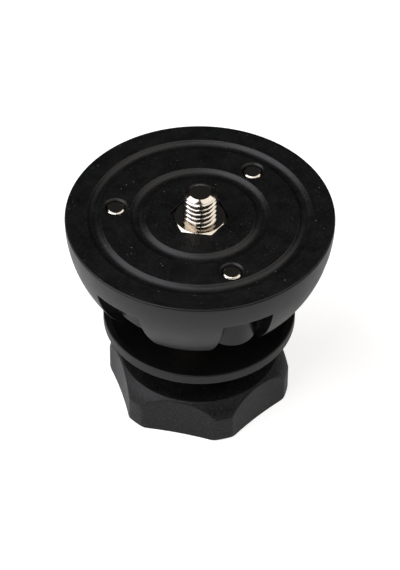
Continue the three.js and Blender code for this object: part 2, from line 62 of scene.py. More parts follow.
# Where a thread's crest ends, and where its root starts and ends, as shares of the pitch
CREST_END = 1 / 8
ROOT_START = 7 / 16
ROOT_END = 11 / 16
THREAD_SEAM = 1 / 16
CREST_ROUNDING = 0.06
ROOT_ROUNDING = 0.12

Point = tuple[float, float]
Corner = tuple[float, ...]
Colour = tuple[float, float, float]
Place = tuple[float, float, float]
Fade = tuple[float, float, float, float]


class Way(Enum):
    """What a tool does to the workpiece that it meets."""

    CUT = "DIFFERENCE"
    JOIN = "UNION"
    TRIM = "INTERSECT"


# Profiles


def rounded(corners: list[Corner], closed: bool = False, steps: int = 4) -> list[Point]:
    """Draws a turning profile whose corners are rounded off.

    Args:
        corners: Radius and height of each corner, with its rounding as an optional third number.
        closed: Whether the profile comes back to its first corner.
        steps: How many lines make one rounding.

    Returns:
        The points of the profile. A closed one ends on its first point.
    """
    count = len(corners)
    points: list[Point] = []
    for i, corner in enumerate(corners):
        here = Vector(corner[:2])
        size = corner[2] if len(corner) > 2 else 0.0
        if size == 0 or (not closed and i in (0, count - 1)):
            points.append((here.x, here.y))
            continue
        before = Vector(corners[i - 1][:2]) - here
        after = Vector(corners[(i + 1) % count][:2]) - here
        half = before.angle(after) / 2
        reach = min(size / math.tan(half), LONGEST_SHARE * min(before.length, after.length))
        radius = reach * math.tan(half)
        inwards = (before.normalized() + after.normalized()).normalized()
        middle = here + inwards * radius / math.sin(half)
        start = here + before.normalized() * reach - middle
        end = here + after.normalized() * reach - middle
        first = math.atan2(start.y, start.x)
        sweep = (math.atan2(end.y, end.x) - first + math.pi) % math.tau - math.pi
        for step in range(steps + 1):
            angle = first + sweep * step / steps
            x, y = middle.x + radius * math.cos(angle), middle.y + radius * math.sin(angle)
            points.append((x, y))
    if closed:
        points.append(points[0])
    return points


def arc(radius: float, start: float, end: float, steps: int) -> list[Point]:
    """Points of an arc about the origin, between two angles in radians."""
    angles = (start + (end - start) * i / steps for i in range(steps + 1))
    return [(radius * math.cos(angle), radius * math.sin(angle)) for angle in angles]


# The bench


def pick(thing: bpy.types.Object) -> None:
    """Selects one object alone and makes it the active one.

    Args:
        thing: The object.
    """
    bpy.ops.object.select_all(action="DESELECT")
    thing.select_set(True)
    bpy.context.view_layer.objects.active = thing


@contextmanager
def editing(thing: bpy.types.Object) -> Iterator[None]:
    """Holds a piece in edit mode with nothing selected.

    Args:
        thing: The piece to shape.
    """
    pick(thing)
    bpy.ops.object.mode_set(mode="EDIT")
    bpy.ops.mesh.select_all(action="DESELECT")
    yield
    bpy.ops.object.mode_set(mode="OBJECT")


class Workpiece:
    """One piece on the bench, drawn in millimetres about the adapter's axis."""

    def __init__(self, thing: bpy.types.Object, name: str) -> None:
        """Takes a new object to the bench.

        Args:
            thing: The object.
            name: What the piece is called.
        """
        self.thing = thing
        self.call(name)

    def call(self, name: str) -> None:
        """Names the piece and its mesh."""
        self.thing.name = self.thing.data.name = name

    def meet(self, tool: "Workpiece", way: Way) -> "Workpiece":
        """Cuts, joins or trims this piece with another, which is used up.

        Args:
            tool: The other piece.
            way: What it does to this one.

        Returns:
            This piece.
        """
        step = self.thing.modifiers.new("meet", "BOOLEAN")
        step.operation = way.value
        step.solver = "MANIFOLD"
        step.object = tool.thing
        self.apply(step)
        bpy.data.objects.remove(tool.thing)
        return self

    def apply(self, step: bpy.types.Modifier) -> None:
        """Makes one modifier of this piece permanent."""
        bpy.context.view_layer.objects.active = self.thing
        bpy.ops.object.modifier_apply(modifier=step.name)

    def turn(self, degrees: float) -> "Workpiece":
        """Turns the piece about the adapter's axis.

        Args:
            degrees: How far, anticlockwise seen from above.

        Returns:
            This piece.
        """
        angle = -math.radians(degrees)
        with editing(self.thing):
            bpy.ops.mesh.select_all(action="SELECT")
            bpy.ops.transform.rotate(value=angle, orient_axis="Z", center_override=(0, 0, 0))
        return self

    def shift(self, x: float, y: float, z: float) -> "Workpiece":
        """Moves the whole piece.

        Args:
            x: How far to the right, in millimetres.
            y: How far back.
            z: How far up.

        Returns:
            This piece.
        """
        with editing(self.thing):
            bpy.ops.mesh.select_all(action="SELECT")
            bpy.ops.transform.translate(value=(x, y, z))
        return self

    def copy(self, name: str) -> "Workpiece":
        """Makes a second piece like this one, with a mesh of its own.

        Args:
            name: What the second piece is called.

        Returns:
            The second piece.
        """
        pick(self.thing)
        bpy.ops.object.duplicate(linked=False)
        return Workpiece(bpy.context.active_object, name)

    def settle(self, reach: float, wanted: Callable[[Vector], bool], sharpness: float = 30) -> "Workpiece":
        """Draws the vertices that lie close to a sharp edge on to it, so that a bevel has room.

        Args:
            reach: How close a vertex has to lie, in millimetres.
            wanted: Says of a place whether its vertex may move.
            sharpness: From which angle an edge is sharp, in degrees.

        Returns:
            This piece.
        """
        with editing(self.thing):
            bpy.ops.mesh.select_mode(type="EDGE")
            bpy.ops.mesh.edges_select_sharp(sharpness=math.radians(sharpness))
            mesh = bmesh.from_edit_mesh(self.thing.data)
            sharp = {vertex for edge in mesh.edges if edge.select for vertex in edge.verts}
            bpy.ops.mesh.select_mode(type="VERT")
            bpy.ops.mesh.select_all(action="DESELECT")
            mesh = bmesh.from_edit_mesh(self.thing.data)
            for vertex in mesh.verts:
                vertex.select = vertex not in sharp and wanted(vertex.co)
            bmesh.update_edit_mesh(self.thing.data)
            bpy.ops.mesh.remove_doubles(threshold=reach, use_unselected=True)
        return self

    def soften(self, width: float, segments: int = 2, limit: float = 30) -> "Workpiece":
        """Rounds the sharp edges.

        Args:
            width: Width of the rounding in millimetres.
            segments: How many faces make it.
            limit: From which angle an edge is rounded, in degrees.

        Returns:
            This piece.
        """
        step = self.thing.modifiers.new("soften", "BEVEL")
        step.width = width
        step.segments = segments
        step.limit_method = "ANGLE"
        step.angle_limit = math.radians(limit)
        step.use_clamp_overlap = False
        step.miter_outer = "MITER_ARC"
        self.apply(step)
        return self

    def shade(self, limit: float = 32) -> "Workpiece":
        """Shades the piece smooth up to an angle, and keeps its flat faces flat.

        Args:
            limit: From which angle an edge stays sharp, in degrees.

        Returns:
            This piece.
        """
        pick(self.thing)
        bpy.ops.object.shade_smooth_by_angle(angle=math.radians(limit))
        self.level()
        return self

    def level(self) -> None:
        """Lets the large faces rule the shading, up to the sharp edges."""
        step = self.thing.modifiers.new("level", "WEIGHTED_NORMAL")
        step.mode = "FACE_AREA"
        step.weight = FLAT_WEIGHT
        step.keep_sharp = True
        self.apply(step)

    def hand_over(self, finish: "Finish", body: str, *nodes: str) -> None:
        """Brings the piece from millimetres to metres, paints it and fits it to the frame.

        Args:
            finish: The finish that it gets.
            body: The body that it rides on.
            *nodes: The CAD nodes that it stands for.
        """
        with editing(self.thing):
            bpy.ops.mesh.select_all(action="SELECT")
            bpy.ops.transform.resize(value=(MM, MM, MM), center_override=(0, 0, 0))
        self.level()
        self.thing.data.materials.clear()
        self.thing.data.materials.append(finish.material())
        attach(self.thing, body)
        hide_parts(*nodes)
        log.info("%s: %d faces, on %s", self.thing.name, len(self.thing.data.polygons), body)


def dot(radius: float, height: float) -> bpy.types.Object:
    """Puts a single vertex on the bench, to draw a profile from.

    Args:
        radius: Its distance from the axis.
        height: Its height.

    Returns:
        The object that holds it, left in edit mode.
    """
    bpy.ops.object.select_all(action="DESELECT")
    bpy.ops.mesh.primitive_plane_add(size=1)
    thing = bpy.context.active_object
    bpy.ops.object.mode_set(mode="EDIT")
    bpy.ops.mesh.select_all(action="SELECT")
    bpy.ops.mesh.merge(type="CENTER")
    bpy.ops.transform.translate(value=(radius, 0, height))
    return thing


def draw(profile: list[Point]) -> bpy.types.Object:
    """Draws a profile in the plane of radius and height.

    Args:
        profile: Its points.

    Returns:
        The object that holds it, left in edit mode.
    """
    thing = dot(*profile[0])
    for (radius, height), (next_radius, next_height) in pairwise(profile):
        step = (next_radius - radius, 0, next_height - height)
        bpy.ops.mesh.extrude_vertices_move(TRANSFORM_OT_translate={"value": step})
    return thing


def weld(reach: float = WELD) -> None:
    """Joins what meets in the piece that is being edited, and points its faces outwards.

    Args:
        reach: How far apart two vertices that are joined may lie, in millimetres.
    """
    bpy.ops.mesh.select_all(action="SELECT")
    bpy.ops.mesh.remove_doubles(threshold=reach)
    bpy.ops.mesh.normals_make_consistent(inside=False)


def turned(name: str, profile: list[Point], sides: int = SIDES) -> Workpiece:
    """Turns a profile about the axis.

    Args:
        name: What the piece is called.
        profile: Its points, from axis to axis or closed.
        sides: Facets of one round.

    Returns:
        The turned piece.
    """
    thing = draw(profile)
    bpy.ops.mesh.select_all(action="SELECT")
    bpy.ops.mesh.spin(steps=sides, angle=math.tau, center=(0, 0, 0), axis=(0, 0, 1))
    weld()
    bpy.ops.object.mode_set(mode="OBJECT")
    return Workpiece(thing, name)


def rod(radius: float, bottom: float, top: float, sides: int = SIDES) -> Workpiece:
    """A plain round tool between two heights."""
    profile = [(0, bottom), (radius, bottom), (radius, top), (0, top)]
    return turned("rod_tool", profile, sides)


def prism(flats: float, bottom: float, top: float, sides: int = 6, turn: float = 0) -> Workpiece:
    """A prism tool that is measured over its flats.

    Args:
        flats: Width over the flats.
        bottom: Height of its lower face.
        top: Height of its upper face.
        sides: How many flats it has.
        turn: Angle of one corner in degrees.

    Returns:
        The prism.
    """
    reach = flats / 2 / math.cos(math.pi / sides)
    profile = [(0, bottom), (reach, bottom), (reach, top), (0, top)]
    return turned("prism_tool", profile, sides).turn(turn)


def block(low: Place, high: Place) -> Workpiece:
    """A square tool.

    Args:
        low: Its lowest corner, on the left in front.
        high: Its highest corner, on the right at the back.

    Returns:
        The tool.
    """
    bpy.ops.object.select_all(action="DESELECT")
    bpy.ops.mesh.primitive_cube_add(size=1)
    tool = Workpiece(bpy.context.active_object, "block_tool")
    with editing(tool.thing):
        bpy.ops.mesh.select_all(action="SELECT")
        size = tuple(end - start for start, end in zip(low, high))
        bpy.ops.transform.resize(value=size, center_override=(0, 0, 0))
    return tool.shift(*((start + end) / 2 for start, end in zip(low, high)))


def helix(
    name: str, crest: float, depth: float, pitch: float, bottom: float, turns: int, sides: int
) -> Workpiece:
    """A right-handed screw thread with rounded crests and roots, closed at both ends.

    Args:
        name: What the piece is called.
        crest: Outer radius.
        depth: How deep the thread is cut.
        pitch: Rise of one turn.
        bottom: Height at which it begins.
        turns: How many turns it has.
        sides: Facets of one turn.

    Returns:
        The threaded bar.
    """
    root = crest - depth
    flank = rounded(
        [
            (crest, bottom + pitch * THREAD_SEAM),
            (crest, bottom + pitch * CREST_END, pitch * CREST_ROUNDING),
            (root, bottom + pitch * ROOT_START, pitch * ROOT_ROUNDING),
            (root, bottom + pitch * ROOT_END, pitch * ROOT_ROUNDING),
            (crest, bottom + pitch, pitch * CREST_ROUNDING),
            (crest, bottom + pitch * (1 + THREAD_SEAM)),
        ],
        steps=3,
    )
    thing = draw(flank)
    bpy.ops.object.mode_set(mode="OBJECT")
    piece = Workpiece(thing, name)
    step = thing.modifiers.new("thread", "SCREW")
    step.axis = "Z"
    step.angle = math.tau
    step.screw_offset = pitch
    step.iterations = turns
    step.steps = step.render_steps = sides
    piece.apply(step)
    with editing(thing):
        weld()
        middle = bottom + pitch * (turns + 1) / 2
        for side in (-1, 1):
            mesh = bmesh.from_edit_mesh(thing.data)
            rims = {vertex for edge in mesh.edges if edge.is_boundary for vertex in edge.verts}
            end = {vertex for vertex in rims if (vertex.co.z - middle) * side > 0}
            bpy.ops.mesh.select_all(action="DESELECT")
            for edge in mesh.edges:
                if edge.is_boundary and edge.verts[0] in end:
                    edge.select = True
            bmesh.update_edit_mesh(thing.data)
            bpy.ops.mesh.extrude_region_move()
            bpy.ops.mesh.merge(type="CENTER")
        weld()
    return piece


# Shader maths


class Wire:
    """An output of a finish's nodes. Arithmetic on it adds Math nodes."""

    def __init__(self, sheet: "Sheet", socket: bpy.types.NodeSocket) -> None:
        """Holds the socket and the sheet that it is on."""
        self.sheet = sheet
        self.socket = socket

    def _math(self, operation: str, first: "Wire | float", second: "Wire | float") -> "Wire":
        """Adds one Math node."""
        return self.sheet.node("ShaderNodeMath", {"operation": operation}, {0: first, 1: second})

    def __add__(self, other: "Wire | float") -> "Wire":
        """self + other."""
        return self._math("ADD", self, other)

    def __sub__(self, other: "Wire | float") -> "Wire":
        """self - other."""
        return self._math("SUBTRACT", self, other)

    def __rsub__(self, other: float) -> "Wire":
        """other - self."""
        return self._math("SUBTRACT", other, self)

    def __mul__(self, other: "Wire | float") -> "Wire":
        """self * other."""
        return self._math("MULTIPLY", self, other)

    __radd__ = __add__
    __rmul__ = __mul__


class Sheet:
    """The node sheet of one finish, or of the world."""

    def __init__(
        self,
        owner: bpy.types.Material | bpy.types.World,
        shader: str = "ShaderNodeBsdfPrincipled",
        output: str = "ShaderNodeOutputMaterial",
    ) -> None:
        """Starts afresh with a bare shader.

        Args:
            owner: The material or world that the nodes belong to.
            shader: The shader's type.
            output: The output's type.
        """
        self.owner = owner
        self.owner.use_nodes = True
        self.tree = self.owner.node_tree
        self.tree.nodes.clear()
        self.shader = self.tree.nodes.new(shader)
        out = self.tree.nodes.new(output)
        self.tree.links.new(self.shader.outputs[0], out.inputs[0])
        self.place = self.node("ShaderNodeTexCoord", {}, {}, "Object")

    def node(
        self,
        kind: str,
        settings: dict[str, object],
        inputs: dict[int | str, object],
        output: int | str = 0,
    ) -> Wire:
        """Adds a node, set up and joined.

        Args:
            kind: Its type.
            settings: Its settings, set first. "stops" holds the places and shades of a ramp.
            inputs: The values or wires of its sockets.
            output: Which of its outputs is returned.

        Returns:
            The output.
        """
        new = self.tree.nodes.new(kind)
        for name, value in settings.items():
            if name == "stops":
                ramp = new.color_ramp.elements
                while len(ramp) < len(value):
                    ramp.new(1)
                for stop, (position, shade) in zip(ramp, value):
                    stop.position = position
                    stop.color = (shade, shade, shade, 1)
            else:
                setattr(new, name, value)
        for name, value in inputs.items():
            self.join(new.inputs[name], value)
        return Wire(self, new.outputs[output])

    def join(self, socket: bpy.types.NodeSocket, value: object) -> None:
        """Sets a socket to a value, or links a wire to it.

        Args:
            socket: The socket.
            value: A wire, a number, or a colour of three numbers.
        """
        if isinstance(value, Wire):
            self.tree.links.new(value.socket, socket)
        elif isinstance(value, tuple) and len(value) == 3 and socket.type == "RGBA":
            socket.default_value = (*value, 1)
        else:
            socket.default_value = value

    def noise(self, size: float, detail: float = 2, roughness: float = 0.5) -> Wire:
        """Noise from 0 to 1 at the object's own place.

        Args:
            size: Size of its blots in millimetres.
            detail: How many finer layers it has.
            roughness: How strong they are.

        Returns:
            The noise.
        """
        scale = 1 / (size * MM)
        inputs = {"Vector": self.place, "Scale": scale, "Detail": detail, "Roughness": roughness}
        return self.node("ShaderNodeTexNoise", {}, inputs, "Fac")

    def step(self, value: Wire, low: float, high: float, start: float = 0.0, end: float = 1.0) -> Wire:
        """Carries a value from one range to another, held at both ends."""
        inputs = {"Value": value, 1: low, 2: high, 3: start, 4: end}
        return self.node("ShaderNodeMapRange", {"clamp": True}, inputs, 0)

    def blend(self, share: Wire | float, first: object, second: object) -> Wire:
        """Mixes two colours."""
        return self.node("ShaderNodeMix", {"data_type": "RGBA"}, {0: share, 6: first, 7: second}, 2)

    def bump(self, height: Wire, depth: float) -> Wire:
        """A bump of a height field whose full range is a depth in millimetres."""
        inputs = {"Strength": 1.0, "Distance": depth * MM, "Height": height}
        return self.node("ShaderNodeBump", {}, inputs)

    def set(self, **values: object) -> bpy.types.Material | bpy.types.World:
        """Sets sockets of the shader, whose names are written with underscores.

        Args:
            **values: The values or wires.

        Returns:
            The material or world.
        """
        for name, value in values.items():
            self.join(self.shader.inputs[name.replace("_", " ")], value)
        return self.owner


@dataclass(frozen=True)
class Finish:
    """A finish for one of the record's material slots. Its material is made once."""

    slot: str

    def material(self) -> bpy.types.Material:
        """The material of this finish."""
        name = f"{self.slot}_finish"
        return bpy.data.materials.get(name) or self.mix(Sheet(bpy.data.materials.new(name)))

    def mix(self, sheet: Sheet) -> bpy.types.Material:
        """Builds the nodes.

        Args:
            sheet: An empty sheet.

        Returns:
            The material.
        """
        raise NotImplementedError


@dataclass(frozen=True)
class BlackCoat(Finish):
    """A black coat with faint clouds, fine pale flecks and a little dust.

    The flecks are the coat's grain, and on the grained plastic they are also painted sparkle that stands
    for its glints.
    """

    colour: Colour
    pale: Colour
    cloud_size: float
    grain_size: float
    grain_depth: float
    roughness: Point
    gloss: float
    # Share of the pale flecks: the grain, and on the knob also painted sparkle for its glints
    grain_and_sparkle: float
    dust_share: float = 0.0
    dust: Colour = (0.16, 0.16, 0.15)
    dust_size: float = 0.55
    dust_range: Point = (0.842, 0.87)
    cloud_range: Point = (0.3, 0.75)
    grain_range: Point = (0.52, 0.74)
    dull_range: Point = (0.5, 0.9)
    dull_grain: float = 0.4

    def mix(self, sheet: Sheet) -> bpy.types.Material:
        """Builds the nodes.

        Args:
            sheet: An empty sheet.

        Returns:
            The material.
        """
        cloud = sheet.noise(self.cloud_size, detail=5, roughness=0.6)
        grain = sheet.noise(self.grain_size, detail=3, roughness=0.65)
        clouds = sheet.step(cloud, *self.cloud_range) * (1 - self.grain_and_sparkle)
        # Pale flecks from the grain; on the grained plastic they are also painted sparkle
        share = clouds + sheet.step(grain, *self.grain_range) * self.grain_and_sparkle
        colour = sheet.blend(share, self.colour, self.pale)
        if self.dust_share:
            specks = sheet.step(sheet.noise(self.dust_size, detail=0), *self.dust_range)
            colour = sheet.blend(specks * self.dust_share, colour, self.dust)
        return sheet.set(
            Base_Color=colour,
            Roughness=sheet.step(cloud + grain * self.dull_grain, *self.dull_range, *self.roughness),
            Specular_IOR_Level=self.gloss,
            Normal=sheet.bump(grain, self.grain_depth),
        )


@dataclass(frozen=True)
class BareMetal(Finish):
    """Plated, phosphated or turned metal with dull clouds and fine marks."""

    colour: Colour
    dull: Colour
    cloud_size: float
    roughness: Point
    mark_size: float
    mark_depth: float
    cloud_range: Point = (0.4, 0.72)
    dull_range: Point = (0.3, 0.7)

    def mix(self, sheet: Sheet) -> bpy.types.Material:
        """Builds the nodes.

        Args:
            sheet: An empty sheet.

        Returns:
            The material.
        """
        cloud = sheet.noise(self.cloud_size, detail=4, roughness=0.6)
        return sheet.set(
            Base_Color=sheet.blend(sheet.step(cloud, *self.cloud_range), self.colour, self.dull),
            Metallic=1.0,
            Roughness=sheet.step(cloud, *self.dull_range, *self.roughness),
            Normal=sheet.bump(sheet.noise(self.mark_size), self.mark_depth),
        )


@dataclass(frozen=True)
class PaleNylon(Finish):
    """Natural nylon, slightly cloudy."""

    colour: Colour = (0.66, 0.63, 0.54)
    cloudy: Colour = (0.58, 0.55, 0.46)
    cloud_size: float = 3.0
    cloud_range: Point = (0.35, 0.7)
    dull_range: Point = (0.3, 0.7)
    roughness: Point = (0.42, 0.52)
    grain_size: float = 0.1
    grain_depth: float = 0.004
    glow: float = 0.1
    glow_depth: float = 0.5

    def mix(self, sheet: Sheet) -> bpy.types.Material:
        """Builds the nodes.

        Args:
            sheet: An empty sheet.

        Returns:
            The material.
        """
        cloud = sheet.noise(self.cloud_size, detail=3)
        return sheet.set(
            Base_Color=sheet.blend(sheet.step(cloud, *self.cloud_range), self.colour, self.cloudy),
            Roughness=sheet.step(cloud, *self.dull_range, *self.roughness),
            Subsurface_Weight=self.glow,
            Subsurface_Scale=self.glow_depth * MM,
            Normal=sheet.bump(sheet.noise(self.grain_size), self.grain_depth),
        )


BLACK_CASTING = BlackCoat(
    slot="black_casting",
    colour=(0.0007, 0.0008, 0.0011),
    pale=(0.0100, 0.0108, 0.0104),
    cloud_size=5,
    grain_size=0.6,
    grain_depth=0.035,
    roughness=(0.36, 0.44),
    gloss=0.40,
    grain_and_sparkle=0.75,
    dust_share=0.7,
)
BLACK_DISC = BlackCoat(
    slot="black_disc",
    colour=(0.0004, 0.0004, 0.0005),
    pale=(0.0012, 0.0012, 0.0014),
    cloud_size=5,
    grain_size=0.18,
    grain_depth=0.010,
    roughness=(0.42, 0.50),
    gloss=0.44,
    grain_and_sparkle=0.3,
    dust_share=0.3,
)
# Its pale flecks are the knob's grain and also painted sparkle, glints off the grained surface
GRAINED_PLASTIC = BlackCoat(
    slot="black_plastic",
    colour=(0.0008, 0.0008, 0.0010),
    pale=(0.034, 0.034, 0.0355),
    cloud_size=7,
    grain_size=0.52,
    grain_depth=0.14,
    roughness=(0.38, 0.48),
    gloss=0.33,
    grain_and_sparkle=0.9,
    dust_share=0.5,
)
SMOOTH_PLASTIC = BlackCoat(
    slot="black_cap",
    colour=(0.008, 0.008, 0.0085),
    pale=(0.012, 0.012, 0.0125),
    cloud_size=5,
    grain_size=0.2,
    grain_depth=0.006,
    roughness=(0.34, 0.44),
    gloss=0.4,
    grain_and_sparkle=0.3,
)
NICKEL_PLATE = BareMetal(
    slot="nickel_plate",
    colour=(0.66, 0.61, 0.54),
    dull=(0.56, 0.51, 0.44),
    cloud_size=1.8,
    roughness=(0.09, 0.14),
    mark_size=0.4,
    mark_depth=0.0004,
)
ZINC_STEEL = BareMetal(
    slot="zinc_steel",
    colour=(0.42, 0.43, 0.44),
    dull=(0.30, 0.31, 0.32),
    cloud_size=2.5,
    roughness=(0.30, 0.44),
    mark_size=0.15,
    mark_depth=0.004,
)
SPRING_STEEL = BareMetal(
    slot="spring_steel",
    colour=(0.055, 0.055, 0.060),
    dull=(0.035, 0.035, 0.037),
    cloud_size=1.2,
    roughness=(0.38, 0.5),
    mark_size=0.12,
    mark_depth=0.005,
)
TURNED_BRASS = BareMetal(
    slot="brass",
    colour=(0.60, 0.42, 0.17),
    dull=(0.42, 0.29, 0.12),
    cloud_size=2,
    roughness=(0.26, 0.38),
    mark_size=0.2,
    mark_depth=0.003,
)
NATURAL_NYLON = PaleNylon("nylon")


# The adapter's pieces


@dataclass(frozen=True)
class Heights:
    """Heights of the faces where pieces meet, in millimetres above the knob's foot."""

    cap_bottom: float = 0.5
    cap_top: float = 2.5
    stop_head: float = 6.8
    stop_washer: float = 9.7
    rod_end: float = 11.2
    insert: float = 14.15
    flange_top: float = 17.35
    neck_top: float = 19.8
    slip_washer: float = 20.1
    disc_bottom: float = 21.2
    disc_floor: float = 24.4
    ring: float = 24.7
    spigot_top: float = 26.75
    disc_top: float = 28.1
    nut: float = 33.2
    lock_washer: float = 38.0
    hub_washer: float = 40.3
    platform: float = 64.0


# Sizes that several pieces share, in millimetres, and their turns, in degrees
SCREW_ANGLES = {"set_screw_1": -90.0, "set_screw_2": 30.0, "set_screw_3": 150.0}
SCREW_BODIES = {"set_screw_1": "screw_front", "set_screw_2": "screw_right", "set_screw_3": "screw_left"}
SCREW_CIRCLE = 23.7
SCREW_RADIUS = 2.5
ROD_RADIUS = 4.9
ROD_HOLE = 5.3
COLLAR_FLATS = 14.3
COLLAR_TURN = -90.0
KNOB_TURN = -95.5
# Room between two pieces, and how far a tool reaches past the piece that it meets
GAP = 0.3
MARGIN = 1.0


def washer(
    name: str, inner: float, outer: float, low: float, high: float, edge: float, brim: float
) -> Workpiece:
    """Turns a flat washer.

    Args:
        name: What it is called.
        inner: Radius of its hole.
        outer: Its own radius.
        low: Height of its lower face.
        high: Height of its upper face.
        edge: Rounding of its edges.
        brim: Rounding of its lower outer edge.

    Returns:
        The washer.
    """
    corners = [(inner, low, edge), (outer, low, brim), (outer, high, edge), (inner, high, edge)]
    return turned(name, rounded(corners, closed=True)).shade()


@dataclass
class HalfBall:
    """The casting: platform with two grooves, spherical seat, six slots, hub and three screw bosses."""

    at: Heights
    radius: float = 37.5
    rim_chamfer: float = 0.28
    band_depth: float = 8.0
    hub_radius: float = 27.4
    hub_depth: float = 22.2
    lobe_depth: float = 28.5
    lobe_inner: float = 19.5
    slot_width: float = 14.6
    groove_depth: float = 1.0
    grooves: tuple[Point, ...] = ((29.45, 3.7), (17.4, 4.0))
    boss_radius: float = 6.7
    screw_hole: float = 2.8
    countersink: float = 3.3
    recess_clearance: float = 0.15
    recess_depth: float = 4.4
    edge: float = 0.22
    slots: int = 6
    first_slot: float = -90.0
    groove_steps: int = 14
    seat_steps: int = 44
    boss_sides: int = 72
    settle_reach: float = 0.5
    settle_foot: float = 0.2

    def groove(self, radius: float, width: float) -> list[Point]:
        """Draws a round-bottomed groove in the platform, walked inwards.

        Args:
            radius: Its middle's distance from the axis.
            width: Its width at the platform.

        Returns:
            Its points.
        """
        half = width / 2
        curve = (half * half + self.groove_depth**2) / (2 * self.groove_depth)
        sweep = math.asin(half / curve)
        steps = self.groove_steps
        angles = [sweep * (1 - 2 * i / steps) for i in range(steps + 1)]
        return [(radius + curve * math.sin(a), curve * (math.cos(sweep) - math.cos(a))) for a in angles]

    def blank(self) -> Workpiece:
        """Turns the ball before its slots are cut, with the platform at height 0.

        Returns:
            The uncut ball.
        """
        low = -math.asin(self.lobe_depth / self.radius)
        high = -math.asin(self.rim_chamfer / self.radius)
        profile = [(ROD_HOLE, -self.lobe_depth), *arc(self.radius, low, high, self.seat_steps)]
        profile.append((self.radius - self.rim_chamfer, 0))
        for radius, width in self.grooves:
            profile += self.groove(radius, width)
        profile += [(ROD_HOLE, 0), (ROD_HOLE, -self.lobe_depth)]
        return turned("half_ball_fine", profile, WIDE_SIDES)

    def hub(self) -> Workpiece:
        """Turns the hub that closes the middle, up into the band.

        Returns:
            The hub.
        """
        low, high = -self.hub_depth, -self.band_depth / 2
        foot = (ROD_HOLE, low)
        profile = [foot, (self.hub_radius, low), (self.hub_radius, high), (ROD_HOLE, high), foot]
        return turned("hub", profile, WIDE_SIDES)

    def build(self) -> None:
        """Builds, dresses and fits the casting."""
        ball = self.blank()
        deep = self.lobe_depth + MARGIN
        ball.meet(rod(self.lobe_inner, -deep, -self.band_depth, WIDE_SIDES), Way.CUT)
        half = self.slot_width / 2
        for i in range(self.slots):
            slot = block((0, -half, -deep), (self.radius + MARGIN, half, -self.band_depth))
            ball.meet(slot.turn(self.first_slot + 360 / self.slots * i), Way.CUT)
        ball.meet(self.hub(), Way.JOIN)
        for angle in SCREW_ANGLES.values():
            boss = rod(self.boss_radius, -self.hub_depth, -self.band_depth / 2, self.boss_sides)
            ball.meet(boss.shift(SCREW_CIRCLE, 0, 0).turn(angle), Way.JOIN)
        sink = self.countersink - self.screw_hole
        hole = [
            (0, -self.hub_depth - MARGIN),
            (self.screw_hole, -self.hub_depth - MARGIN),
            (self.screw_hole, -sink),
            (self.countersink + MARGIN, MARGIN),
            (0, MARGIN),
        ]
        for angle in SCREW_ANGLES.values():
            drill = turned("screw_hole", hole, NARROW_SIDES)
            ball.meet(drill.shift(SCREW_CIRCLE, 0, 0).turn(angle), Way.CUT)
        flats = COLLAR_FLATS + 2 * self.recess_clearance
        ball.meet(prism(flats, -self.recess_depth, MARGIN, turn=COLLAR_TURN), Way.CUT)
        low, high = -self.lobe_depth + self.settle_foot, -self.band_depth + MARGIN
        ball.settle(self.settle_reach, lambda place: low < place.z < high)
        ball.soften(self.edge).shade()
        ball.shift(0, 0, self.at.platform)
        ball.hand_over(BLACK_CASTING, "ball", "half_ball")


